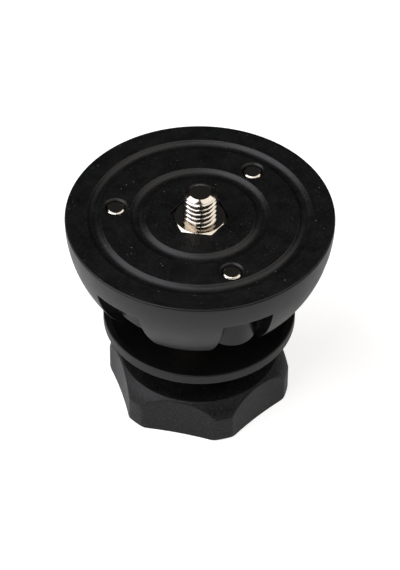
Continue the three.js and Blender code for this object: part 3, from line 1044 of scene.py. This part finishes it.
@dataclass
class TieBolt:
    """The bolt: head thread, six-sided collar and the long rod with its lower thread."""

    at: Heights
    head_crest: float = 4.7625
    head_pitch: float = 1.5875
    head_depth: float = 0.95
    head_height: float = 8.6
    head_turns: int = 9
    head_sides: int = 64
    head_foot: float = 0.6
    tip_radius: float = 2.95
    tip_slope: float = 0.4
    tip_rounding: float = 0.25
    point_radius: float = 4.35
    point_height: float = 0.5
    point_chamfer: float = 0.3
    point_rounding: float = 0.1
    point_cover: float = 0.04
    collar_thickness: float = 3.85
    collar_proud: float = -0.25
    collar_face: float = 6.95
    collar_chamfer: float = 0.78
    collar_edge: float = 0.12
    lower_pitch: float = 1.5
    lower_depth: float = 0.86
    lower_turns: int = 24
    end_chamfer: float = 0.7
    end_rounding: float = 0.1
    runout_start: float = 1.7
    runout_end: float = 0.9
    rod_top: float = -1.0
    stop_hole: float = 2.7
    stop_hole_depth: float = 9.3
    sharpness: float = 25.0

    def head(self) -> Workpiece:
        """Cuts the thread for the tripod head and sets a plain point on its tip.

        Returns:
            The threaded stud.
        """
        crest, pitch = self.head_crest, self.head_pitch
        start = -pitch * 2
        bar = helix("head_thread", crest, self.head_depth, pitch, start, self.head_turns, self.head_sides)
        wide = crest + MARGIN
        under = self.head_height - self.point_cover
        outline = [
            (0, -self.head_foot),
            (wide, -self.head_foot),
            (wide, under - self.tip_slope * (wide - self.tip_radius)),
            (self.tip_radius, under),
            (0, under),
        ]
        bar.meet(turned("tip", outline), Way.TRIM)
        shoulder = self.head_height - self.tip_slope * (self.point_radius - self.tip_radius)
        foot = shoulder - self.point_height
        point = rounded(
            [
                (0, foot),
                (self.point_radius - self.point_chamfer, foot),
                (self.point_radius, foot + self.point_chamfer),
                (self.point_radius, shoulder, self.point_rounding),
                (self.tip_radius, self.head_height, self.tip_rounding),
                (0, self.head_height),
            ]
        )
        return bar.meet(turned("point", point), Way.JOIN)

    def collar(self) -> Workpiece:
        """Cuts the collar and turns its upper corners down to a cone.

        Returns:
            The collar.
        """
        bottom = self.collar_proud - self.collar_thickness
        corner = COLLAR_FLATS / 2 / math.cos(math.pi / 6)
        slope = self.collar_chamfer / (corner - self.collar_face)
        wide = corner + MARGIN
        cone = [
            (0, bottom - MARGIN),
            (wide, bottom - MARGIN),
            (wide, self.collar_proud - slope * (wide - self.collar_face)),
            (self.collar_face, self.collar_proud),
            (0, self.collar_proud),
        ]
        hexagon = prism(COLLAR_FLATS, bottom, self.collar_proud, turn=COLLAR_TURN)
        return hexagon.meet(turned("cone", cone), Way.TRIM).soften(self.collar_edge, limit=20)

    def shank(self) -> Workpiece:
        """Makes the rod below the collar, with a thread at its lower end and plain above.

        Returns:
            The rod.
        """
        end = self.at.rod_end - self.at.platform
        pitch, turns = self.lower_pitch, self.lower_turns
        thread_top = end + pitch * turns
        depth = self.lower_depth
        bar = helix("rod_thread", ROD_RADIUS, depth, pitch, end - pitch, turns + 1, NARROW_SIDES)
        wide = ROD_RADIUS + GAP
        trim = [
            (0, end),
            (ROD_RADIUS - self.end_chamfer, end, self.end_rounding),
            (wide, end + MARGIN),
            (wide, self.rod_top),
            (0, self.rod_top),
        ]
        bar.meet(turned("trim", rounded(trim)), Way.TRIM)
        plain = [
            (0, thread_top - self.runout_start),
            (ROD_RADIUS - depth, thread_top - self.runout_start),
            (ROD_RADIUS, thread_top - self.runout_end),
            (ROD_RADIUS, self.rod_top),
            (0, self.rod_top),
        ]
        bar.meet(turned("plain", plain), Way.JOIN)
        hole = rod(self.stop_hole, end - MARGIN, end + self.stop_hole_depth, NARROW_SIDES)
        return bar.meet(hole, Way.CUT)

    def build(self) -> None:
        """Builds, dresses and fits the bolt."""
        bolt = self.collar()
        bolt.meet(self.head(), Way.JOIN)
        bolt.meet(self.shank(), Way.JOIN)
        bolt.call("tie_bolt_fine")
        bolt.shade(self.sharpness).shift(0, 0, self.at.platform)
        bolt.hand_over(NICKEL_PLATE, "ball", "tie_bolt")


@dataclass
class SetScrews:
    """Three threaded set screws with a chamfered tip above and a socket below."""

    at: Heights
    length: float = 16.0
    pitch: float = 0.8
    depth: float = 0.42
    turns: int = 22
    sides: int = 36
    tip_radius: float = 2.12
    tip_chamfer: float = 0.24
    tip_rounding: float = 0.12
    tip_sides: int = 64
    foot_chamfer: float = 0.5
    foot_height: float = 0.8
    foot_rounding: float = 0.08
    sink: float = 0.4
    socket: float = 2.5
    sharpness: float = 40.0

    def one(self) -> Workpiece:
        """Models one screw with its tip at height 0.

        Returns:
            The screw.
        """
        foot, start = -self.length, -self.length - self.pitch
        bar = helix("set_screw", SCREW_RADIUS, self.depth, self.pitch, start, self.turns, self.sides)
        wide = SCREW_RADIUS + GAP
        slope = self.tip_chamfer / (SCREW_RADIUS - self.tip_radius)
        outline = rounded(
            [
                (0, foot),
                (SCREW_RADIUS - self.foot_chamfer, foot, self.foot_rounding),
                (wide, foot + self.foot_height),
                (wide, -slope * (wide - self.tip_radius)),
                (self.tip_radius, 0, self.tip_rounding),
                (0, 0),
            ]
        )
        bar.meet(turned("tip", outline, self.tip_sides), Way.TRIM)
        socket = prism(self.socket, foot - MARGIN, foot + self.socket)
        return bar.meet(socket, Way.CUT).shade(self.sharpness)

    def build(self) -> None:
        """Copies the screw to its three places, dresses and fits it."""
        pattern = self.one()
        for name, angle in SCREW_ANGLES.items():
            screw = pattern.copy(f"{name}_fine")
            screw.shift(SCREW_CIRCLE, 0, self.at.platform - self.sink).turn(angle)
            screw.hand_over(NICKEL_PLATE, SCREW_BODIES[name], name)
        bpy.data.objects.remove(pattern.thing)


@dataclass
class HubFasteners:
    """Washer, lock washer and nut that hold the bolt in the hub."""

    at: Heights
    washer_radius: float = 10.0
    washer_thickness: float = 1.2
    lock_radius: float = 8.8
    lock_thickness: float = 2.0
    split: float = 1.6
    nut_flats: float = 17.0
    nut_thickness: float = 4.5
    nut_chamfer: float = 0.4
    nut_edge: float = 0.1
    washer_edge: float = 0.12
    washer_brim: float = 0.3
    lock_edge: float = 0.15

    def flat_washer(self) -> None:
        """The flat washer under the hub."""
        low, high = self.at.hub_washer, self.at.hub_washer + self.washer_thickness
        sizes = (ROD_HOLE, self.washer_radius, low, high, self.washer_edge, self.washer_brim)
        washer("hub_washer_fine", *sizes).hand_over(ZINC_STEEL, "ball", "hub_washer")

    def lock_washer(self) -> None:
        """The split spring washer."""
        low, high = self.at.lock_washer, self.at.lock_washer + self.lock_thickness
        outer = self.lock_radius
        corners = [(ROD_HOLE, low), (outer, low), (outer, high), (ROD_HOLE, high)]
        piece = turned("hub_lock_washer_fine", rounded(corners, closed=True))
        half = self.split / 2
        saw = block((0, -half, low - MARGIN), (outer + MARGIN, half, high + MARGIN))
        piece.meet(saw, Way.CUT).soften(self.lock_edge, limit=40).shade()
        piece.hand_over(SPRING_STEEL, "ball", "hub_lock_washer")

    def nut(self) -> None:
        """The hexagonal nut, both faces chamfered to a circle."""
        low, high = self.at.nut, self.at.nut + self.nut_thickness
        face = self.nut_flats / 2
        corner = face / math.cos(math.pi / 6)
        bevel = (corner - face) / 2
        piece = prism(self.nut_flats, low, high)
        mouth = ROD_HOLE + self.nut_chamfer
        outline = [
            (mouth, low),
            (face, low),
            (corner, low + bevel),
            (corner, high - bevel),
            (face, high),
            (mouth, high),
            (ROD_HOLE, high - self.nut_chamfer),
            (ROD_HOLE, low + self.nut_chamfer),
            (mouth, low),
        ]
        piece.meet(turned("outline", outline), Way.TRIM).soften(self.nut_edge, limit=25).shade()
        piece.call("hub_nut_fine")
        piece.hand_over(ZINC_STEEL, "ball", "hub_nut")

    def build(self) -> None:
        """Builds, dresses and fits the three pieces."""
        self.flat_washer()
        self.lock_washer()
        self.nut()


@dataclass
class EndStop:
    """Washer and screw that keep the knob on the rod."""

    at: Heights
    washer_radius: float = 8.0
    washer_thickness: float = 1.2
    washer_hole: float = 2.7
    screw_radius: float = 2.4
    head_radius: float = 4.4
    head_thickness: float = 2.6
    reach: float = 9.0
    socket: float = 3.0
    socket_depth: float = 1.5
    edge: float = 0.1
    washer_brim: float = 0.3
    head_rounding: float = 0.5
    end_rounding: float = 0.3
    socket_edge: float = 0.08
    sides: int = 72

    def build(self) -> None:
        """Builds, dresses and fits both pieces."""
        low, high = self.at.stop_washer, self.at.stop_washer + self.washer_thickness
        sizes = (self.washer_hole, self.washer_radius, low, high, self.edge, self.washer_brim)
        washer("stop_washer_fine", *sizes).hand_over(ZINC_STEEL, "ball", "stop_washer")
        foot = self.at.stop_head
        shoulder = foot + self.head_thickness
        top = high + GAP + self.reach
        outline = [
            (0, foot),
            (self.head_radius, foot, self.head_rounding),
            (self.head_radius, shoulder, self.edge),
            (self.screw_radius, shoulder, self.edge),
            (self.screw_radius, top, self.end_rounding),
            (0, top),
        ]
        screw = turned("stop_screw_fine", rounded(outline), self.sides)
        screw.meet(prism(self.socket, foot - MARGIN, foot + self.socket_depth), Way.CUT)
        screw.soften(self.socket_edge, limit=40).shade()
        screw.hand_over(ZINC_STEEL, "ball", "stop_screw")


@dataclass
class DiscCarriage:
    """The dished clamp disc and the slip washer below it."""

    at: Heights
    radius: float = 27.3
    edge: float = 0.3
    land: float = 1.6
    rim: float = 3.2
    floor_radius: float = 13.0
    bore: float = 8.4
    bore_rounding: float = 0.25
    dish_rounding: float = 2.0
    step_rounding: float = 1.0
    rim_rounding: float = 0.4
    land_rounding: float = 0.3
    washer_radius: float = 12.0
    washer_thickness: float = 0.8
    washer_edge: float = 0.1

    def build(self) -> None:
        """Builds, dresses and fits both pieces."""
        at = self.at
        land_inner = self.radius - self.edge - self.land
        rim_bottom = at.disc_top - self.rim
        corners = [
            (self.bore, at.disc_bottom, self.bore_rounding),
            (self.floor_radius, at.disc_bottom, self.dish_rounding),
            (land_inner, rim_bottom, self.step_rounding),
            (self.radius, rim_bottom, self.rim_rounding),
            (self.radius, at.disc_top, self.rim_rounding),
            (land_inner, at.disc_top, self.land_rounding),
            (self.floor_radius, at.disc_floor, self.dish_rounding),
            (self.bore, at.disc_floor, self.bore_rounding),
        ]
        outline = rounded(corners, closed=True, steps=6)
        disc = turned("clamp_disc_fine", outline, WIDE_SIDES).shade()
        disc.hand_over(BLACK_DISC, "disc", "clamp_disc")
        low, high = at.slip_washer, at.slip_washer + self.washer_thickness
        sizes = (self.bore, self.washer_radius, low, high, self.washer_edge, self.washer_edge)
        washer("thrust_washer_fine", *sizes).hand_over(NATURAL_NYLON, "carriage", "thrust_washer")


@dataclass
class Knob:
    """The six-lobed hand knob with its brass insert, cap and the ring that keeps the disc."""

    at: Heights
    lobes: int = 6
    lobe_radius: float = 26.1
    flute_radius: float = 23.2
    scoop_radius: float = 100.0
    edge_softness: float = 0.1
    foot_edge: float = 0.6
    wall_height: float = 8.2
    shoulder_height: float = 13.0
    shoulder_radius: float = 22.7
    shoulder_bulge: float = 0.45
    neck_radius: float = 12.5
    neck_foot: float = 14.0
    columns: int = 44
    cap_radius: float = 12.5
    spigot_radius: float = 8.0
    flange_radius: float = 10.0
    ring_width: float = 2.2
    ring_thickness: float = 1.2
    ring_groove: float = 1.0
    ring_opening: float = 50.0
    ring_play: float = 0.15
    ring_edge: float = 0.1
    lug_radius: float = 1.9
    lug_hole: float = 0.8
    lug_sides: int = 36
    lug_hole_sides: int = 24
    foot_rings: tuple[float, ...] = (0, 12, 18, 22, 24)
    wall_steps: int = 10
    shoulder_steps: int = 22
    shoulder_rounding: float = 0.9
    neck_rounding: float = 0.8
    neck_edge: float = 0.5
    scoop_depth: float = 3.0
    bore_edge: float = 0.2
    cap_dish: tuple[float, float, float] = (8.6, 9.4, 0.25)
    cap_edge: float = 0.3
    cap_hidden_edge: float = 0.1
    flange_sides: int = 12
    flange_edge: float = 0.2
    flange_bore: float = 5.9
    insert_mouth: float = 0.3
    insert_foot: float = 0.05
    groove_edge: float = 0.08
    spigot_edge: float = 0.5

    def scoop_reach(self, angle: float) -> float:
        """Measures from the axis to the scooped wall.

        Args:
            angle: The direction in radians, 0 in the middle of a lobe.

        Returns:
            The distance.
        """
        offset = math.pi / self.lobes - abs(angle)
        centre = self.flute_radius + self.scoop_radius
        aside = centre * math.sin(offset)
        return centre * math.cos(offset) - math.sqrt(self.scoop_radius**2 - aside**2)

    def drawn_in(self, radius: float, angle: float) -> float:
        """Takes the smaller of a radius and the scoop's reach, the corner between them rounded.

        Args:
            radius: The radius.
            angle: The direction in radians, 0 in the middle of a lobe.

        Returns:
            The new radius.
        """
        softness = self.edge_softness
        reaches = (radius, self.scoop_reach(angle))
        return -softness * math.log(sum(math.exp(-reach / softness) for reach in reaches))

    def profile(self) -> list[Point]:
        """Draws the knob's outline through a lobe, as if it had no scoops.

        Returns:
            Its points, from the middle of the foot to the middle of the top.
        """
        lobe, wall = self.lobe_radius, self.wall_height
        foot = rounded([(0, 0), (lobe, 0, self.foot_edge), (lobe, wall)], steps=6)
        low = foot[-2][1]
        side = [(lobe, low + (wall - low) * i / self.wall_steps) for i in range(1, self.wall_steps)]
        points = [(radius, 0) for radius in self.foot_rings] + foot[1:-1] + side
        for i in range(self.shoulder_steps + 1):
            share = i / self.shoulder_steps
            bulge = self.shoulder_bulge * math.sin(math.pi * share)
            radius = lobe + (self.shoulder_radius - lobe) * share + bulge
            points.append((radius, wall + (self.shoulder_height - wall) * share))
        neck = rounded(
            [
                points[-2],
                (self.shoulder_radius, self.shoulder_height, self.shoulder_rounding),
                (self.neck_radius, self.neck_foot, self.neck_rounding),
                (self.neck_radius, self.at.neck_top, self.neck_edge),
                (0, self.at.neck_top),
            ],
            steps=6,
        )
        return points[:-1] + neck[1:]

    def skin(self) -> Workpiece:
        """Models half a lobe, mirrors it and repeats it round the axis.

        Returns:
            The knob's outside, closed.
        """
        profile = self.profile()
        sector = math.pi / self.lobes
        thing = draw(profile)
        bpy.ops.mesh.select_all(action="SELECT")
        bpy.ops.mesh.spin(steps=self.columns, angle=sector, center=(0, 0, 0), axis=(0, 0, 1))
        weld()
        mesh = bmesh.from_edit_mesh(thing.data)
        moves = []
        for vertex in mesh.verts:
            radius = math.hypot(vertex.co.x, vertex.co.y)
            if radius > self.shoulder_radius - self.scoop_depth:
                angle = math.atan2(vertex.co.y, vertex.co.x)
                moves.append((vertex.index, self.drawn_in(radius, angle) / radius))
        for index, share in moves:
            bpy.ops.mesh.select_all(action="DESELECT")
            mesh = bmesh.from_edit_mesh(thing.data)
            mesh.verts.ensure_lookup_table()
            mesh.verts[index].select = True
            bpy.ops.transform.resize(value=(share, share, 1), center_override=(0, 0, 0))
        bpy.ops.mesh.select_all(action="SELECT")
        bpy.ops.mesh.duplicate()
        bpy.ops.transform.resize(value=(1, -1, 1), center_override=(0, 0, 0))
        weld()
        bpy.ops.mesh.select_all(action="SELECT")
        around = math.tau * (self.lobes - 1) / self.lobes
        bpy.ops.mesh.spin(steps=self.lobes - 1, dupli=True, angle=around, center=(0, 0, 0), axis=(0, 0, 1))
        weld()
        bpy.ops.object.mode_set(mode="OBJECT")
        return Workpiece(thing, "knob_body_fine")

    def body(self) -> None:
        """The knob itself, hollow for insert, end stop and cap."""
        at = self.at
        piece = self.skin()
        piece.meet(rod(self.spigot_radius + GAP, at.flange_top, at.neck_top + MARGIN), Way.CUT)
        room = rod(self.flange_radius + GAP, MARGIN, at.flange_top + GAP, self.flange_sides)
        piece.meet(room, Way.CUT)
        piece.meet(rod(self.cap_radius + GAP, -MARGIN, at.cap_top + GAP), Way.CUT)
        piece.soften(self.bore_edge, limit=50).shade().turn(KNOB_TURN)
        piece.hand_over(GRAINED_PLASTIC, "knob", "knob_body")

    def cap(self) -> None:
        """The cap in the knob's foot, with a shallow dish."""
        low, high = self.at.cap_bottom, self.at.cap_top
        inner, outer, depth = self.cap_dish
        outline = rounded(
            [
                (0, low + depth),
                (inner, low + depth, self.cap_edge),
                (outer, low, self.cap_edge),
                (self.cap_radius, low, self.cap_edge),
                (self.cap_radius, high, self.cap_hidden_edge),
                (0, high),
            ]
        )
        piece = turned("knob_cap_fine", outline).shade().turn(KNOB_TURN)
        piece.hand_over(SMOOTH_PLASTIC, "knob", "knob_cap")

    def insert(self) -> None:
        """The brass insert: a twelve-sided flange below and a spigot with the ring's groove."""
        at = self.at
        spigot, groove = self.spigot_radius, self.spigot_radius - self.ring_groove
        low, high = at.ring - self.ring_play, at.ring + self.ring_thickness + self.ring_play
        corners = [
            (ROD_HOLE, at.insert, self.insert_mouth),
            (spigot, at.insert, self.insert_foot),
            (spigot, low, self.groove_edge),
            (groove, low, self.groove_edge),
            (groove, high, self.groove_edge),
            (spigot, high, self.groove_edge),
            (spigot, at.spigot_top, self.spigot_edge),
            (ROD_HOLE, at.spigot_top, self.insert_mouth),
        ]
        piece = turned("knob_insert_fine", rounded(corners, closed=True, steps=3))
        flange = rod(self.flange_radius, at.insert, at.flange_top, self.flange_sides)
        flange.soften(self.flange_edge, limit=20)
        flange.meet(rod(self.flange_bore, at.insert - MARGIN, at.flange_top + MARGIN), Way.CUT)
        piece.meet(flange, Way.JOIN).shade().turn(KNOB_TURN)
        piece.hand_over(TURNED_BRASS, "knob", "knob_insert")

    def ring(self) -> None:
        """The open spring ring with two drilled lugs."""
        low, high = self.at.ring, self.at.ring + self.ring_thickness
        under, over = low - MARGIN, high + MARGIN
        inner = self.spigot_radius - self.ring_groove + GAP
        outer = inner + self.ring_width
        reach, half = 2 * outer, self.ring_opening / 2
        piece = rod(outer, low, high)
        wedge = block((0, 0, under), (reach, reach, over)).turn(-half)
        other = block((0, -reach, under), (reach, 0, over)).turn(half)
        piece.meet(wedge.meet(other, Way.TRIM), Way.CUT)
        angle = math.radians(half) + self.lug_radius / (inner + outer)
        lugs = [(outer * math.cos(angle), side * outer * math.sin(angle), 0) for side in (-1, 1)]
        for lug in lugs:
            piece.meet(rod(self.lug_radius, low, high, self.lug_sides).shift(*lug), Way.JOIN)
        for lug in lugs:
            piece.meet(rod(self.lug_hole, under, over, self.lug_hole_sides).shift(*lug), Way.CUT)
        piece.meet(rod(inner, under, over), Way.CUT)
        piece.soften(self.ring_edge, limit=40).shade().turn(KNOB_TURN)
        piece.call("disc_ring_fine")
        piece.hand_over(SPRING_STEEL, "knob", "disc_ring")

    def build(self) -> None:
        """Builds, dresses and fits the knob's pieces."""
        self.body()
        self.cap()
        self.insert()
        self.ring()


# Studio


@dataclass(frozen=True)
class Softbox:
    """One lamp that is aimed at the adapter.

    Right, back and up give its direction, seen from the camera's side.
    """

    right: float
    back: float
    up: float
    distance: float
    width: float
    height: float
    radiance: float
    roll: float = 0.0
    tint: Colour = (1.0, 1.0, 1.0)


@dataclass
class Studio:
    """Floor, world, lamps and camera.

    A fade says what share of its glow the floor shows in reflections: it holds two places in metres and
    the shares there. The fades paint shade and light into those reflections: a painted shadow under the
    adapter, painted light towards the left and a painted dark floor far off.
    """

    centre: tuple[float, float, float] = (0.0, 0.0, 0.064)
    azimuth: float = -21.8
    elevation: float = 43.07588377
    roll: float = 0.48898567
    distance: float = 0.9
    focal_pixels: float = 3252.5
    platform_pixel: float = 215.33
    width: int = 400
    height: int = 570
    sensor: float = 36.0
    aim: Place = (0.0, 0.0, 0.04)
    lamps: tuple[Softbox, ...] = (
        Softbox(
            right=-0.70,
            back=-0.26,
            up=0.78,
            distance=0.8,
            width=1.06,
            height=1.05,
            radiance=2.7,
            roll=10,
            tint=(0.955, 0.96, 1.0),
        ),
        Softbox(
            right=0.50,
            back=-0.10,
            up=0.84,
            distance=0.8,
            width=1.1,
            height=0.76,
            radiance=1.4,
            roll=-14,
            tint=(1.0, 0.955, 0.91),
        ),
    )
    floor_size: float = 6.0
    floor_drop: float = 0.0001
    floor_glow: Colour = (0.7, 0.7, 0.7)
    floor_pale: Colour = (0.6, 0.6, 0.6)
    # Painted dark reflection: the colour that reflections see on the far floor
    floor_painted_dark: Colour = (0.07, 0.07, 0.07)
    floor_dull: float = 0.9
    # Painted shadow: the floor's glow in reflections is dimmed close under the adapter
    painted_shadow_fade: Fade = (0.03, 0.09, 0.4, 0.72)
    # Painted dark reflection: the floor's glow in reflections fades out far from the adapter
    painted_far_dark_fade: Fade = (0.1, 0.4, 1.0, 0.03)
    # Painted light: the floor's glow in reflections is stronger to the left and weaker to the right
    painted_left_light_fade: Fade = (-0.09, 0.11, 0.78, 1.28)
    # Painted dark reflection: where the floor turns dark in reflections
    painted_far_dark_range: Point = (0.15, 0.4)
    sky: tuple[Point, ...] = (
        (0.0, 0.05),
        (0.05, 0.03),
        (0.14, 0.012),
        (0.4, 0.008),
        (0.66, 0.022),
        (1.0, 0.012),
    )

    def across(self) -> Vector:
        """Finds the level direction to the camera's right.

        Returns:
            Its unit vector.
        """
        heading = math.radians(self.azimuth)
        return Vector((math.cos(heading), math.sin(heading), 0))

    def outlook(self) -> Vector:
        """Finds the direction from the adapter to the camera.

        Returns:
            Its unit vector.
        """
        heading, rise = math.radians(self.azimuth), math.radians(self.elevation)
        level = math.cos(rise)
        return Vector((math.sin(heading) * level, -math.cos(heading) * level, math.sin(rise)))

    def floor(self) -> None:
        """A pale floor that keeps the adapter's shadow; what reflections see of it carries painted shade
        and light.
        """
        bpy.ops.object.select_all(action="DESELECT")
        bpy.ops.mesh.primitive_plane_add(size=self.floor_size, location=(0, 0, -self.floor_drop))
        plane = bpy.context.active_object
        plane.name = "floor"
        sheet = Sheet(bpy.data.materials.new("floor"))
        camera = sheet.node("ShaderNodeLightPath", {}, {}, "Is Camera Ray")
        path = camera.socket.node.outputs
        away = sheet.node("ShaderNodeVectorMath", {"operation": "LENGTH"}, {0: sheet.place}, "Value")
        level = self.across()
        leftwards = {0: sheet.place, 1: (-level.x, -level.y, 0.0)}
        left = sheet.node("ShaderNodeVectorMath", {"operation": "DOT_PRODUCT"}, leftwards, "Value")
        # The glow that reflections see of the floor: painted shadow under the adapter, painted dark far
        # off and painted light to the left
        painted_glow_share = sheet.step(away, *self.painted_shadow_fade) * sheet.step(away, *self.painted_far_dark_fade)
        painted_glow_share = painted_glow_share * sheet.step(left, *self.painted_left_light_fade)
        glossy = Wire(sheet, path["Is Glossy Ray"])
        seen = camera + Wire(sheet, path["Is Transmission Ray"]) + glossy * painted_glow_share
        # Painted dark reflection: far off, reflections see the floor dark
        painted_far_darkness = glossy * sheet.step(away, *self.painted_far_dark_range)
        paint = sheet.set(
            Base_Color=sheet.blend(painted_far_darkness, self.floor_pale, self.floor_painted_dark),
            Roughness=self.floor_dull,
            Specular_IOR_Level=0.0,
            Emission_Color=sheet.blend(sheet.step(seen, 0, 1), (0.0, 0.0, 0.0), self.floor_glow),
            Emission_Strength=1.0,
        )
        plane.data.materials.append(paint)

    def world(self) -> None:
        """Pale near the horizon and dim above, as in a studio with a dark ceiling."""
        world = bpy.data.worlds.new("studio")
        bpy.context.scene.world = world
        sheet = Sheet(world, "ShaderNodeBackground", "ShaderNodeOutputWorld")
        way = Wire(sheet, sheet.place.socket.node.outputs["Generated"])
        upwards = sheet.node("ShaderNodeSeparateXYZ", {}, {0: way}, "Z")
        sheet.set(Color=sheet.node("ShaderNodeValToRGB", {"stops": self.sky}, {0: upwards}))

    def light(self, lamp: Softbox, name: str) -> None:
        """Puts up one softbox.

        Args:
            lamp: The softbox.
            name: What it is called.
        """
        data = bpy.data.lights.new(name, "AREA")
        data.shape = "RECTANGLE"
        data.size, data.size_y = lamp.width, lamp.height
        data.energy = lamp.radiance * math.pi * lamp.width * lamp.height
        data.color = lamp.tint
        thing = bpy.data.objects.new(name, data)
        bpy.context.scene.collection.objects.link(thing)
        level = self.across()
        away = Vector((-level.y, level.x, 0))
        towards = (level * lamp.right + away * lamp.back + Vector((0, 0, lamp.up))).normalized()
        thing.location = Vector(self.aim) + towards * lamp.distance
        turned_in = Quaternion((0, 0, 1), math.radians(lamp.roll))
        thing.rotation_euler = (towards.to_track_quat("Z", "Y") @ turned_in).to_euler()

    def camera(self) -> None:
        """The camera at the photograph's angle."""
        data = bpy.data.cameras.new("camera")
        data.sensor_width = self.sensor
        data.lens = self.focal_pixels / max(self.width, self.height) * data.sensor_width
        thing = bpy.data.objects.new("camera", data)
        bpy.context.scene.collection.objects.link(thing)
        back, level = self.outlook(), self.across()
        roll = math.radians(self.roll)
        upright = back.cross(level)
        right = level * math.cos(roll) + upright * math.sin(roll)
        up = upright * math.cos(roll) - level * math.sin(roll)
        tilt = math.atan((self.height / 2 - self.platform_pixel) / self.focal_pixels)
        backward = back * math.cos(tilt) + up * math.sin(tilt)
        top = backward.cross(right)
        thing.location = Vector(self.centre) + back * self.distance
        thing.rotation_euler = Matrix((right, top, backward)).transposed().to_euler()
        bpy.context.scene.camera = thing

    def build(self) -> None:
        """Sets up the whole studio."""
        self.floor()
        self.world()
        for i, lamp in enumerate(self.lamps):
            self.light(lamp, f"softbox_{i + 1}")
        self.camera()
        bpy.context.scene.view_settings.view_transform = "Standard"


def main() -> None:
    """Builds the adapter and its studio."""
    logging.basicConfig(level=logging.INFO, format="%(message)s")
    at = Heights()
    HalfBall(at).build()
    TieBolt(at).build()
    SetScrews(at).build()
    HubFasteners(at).build()
    EndStop(at).build()
    DiscCarriage(at).build()
    Knob(at).build()
    Studio().build()


if __name__ == "__main__":
    main()
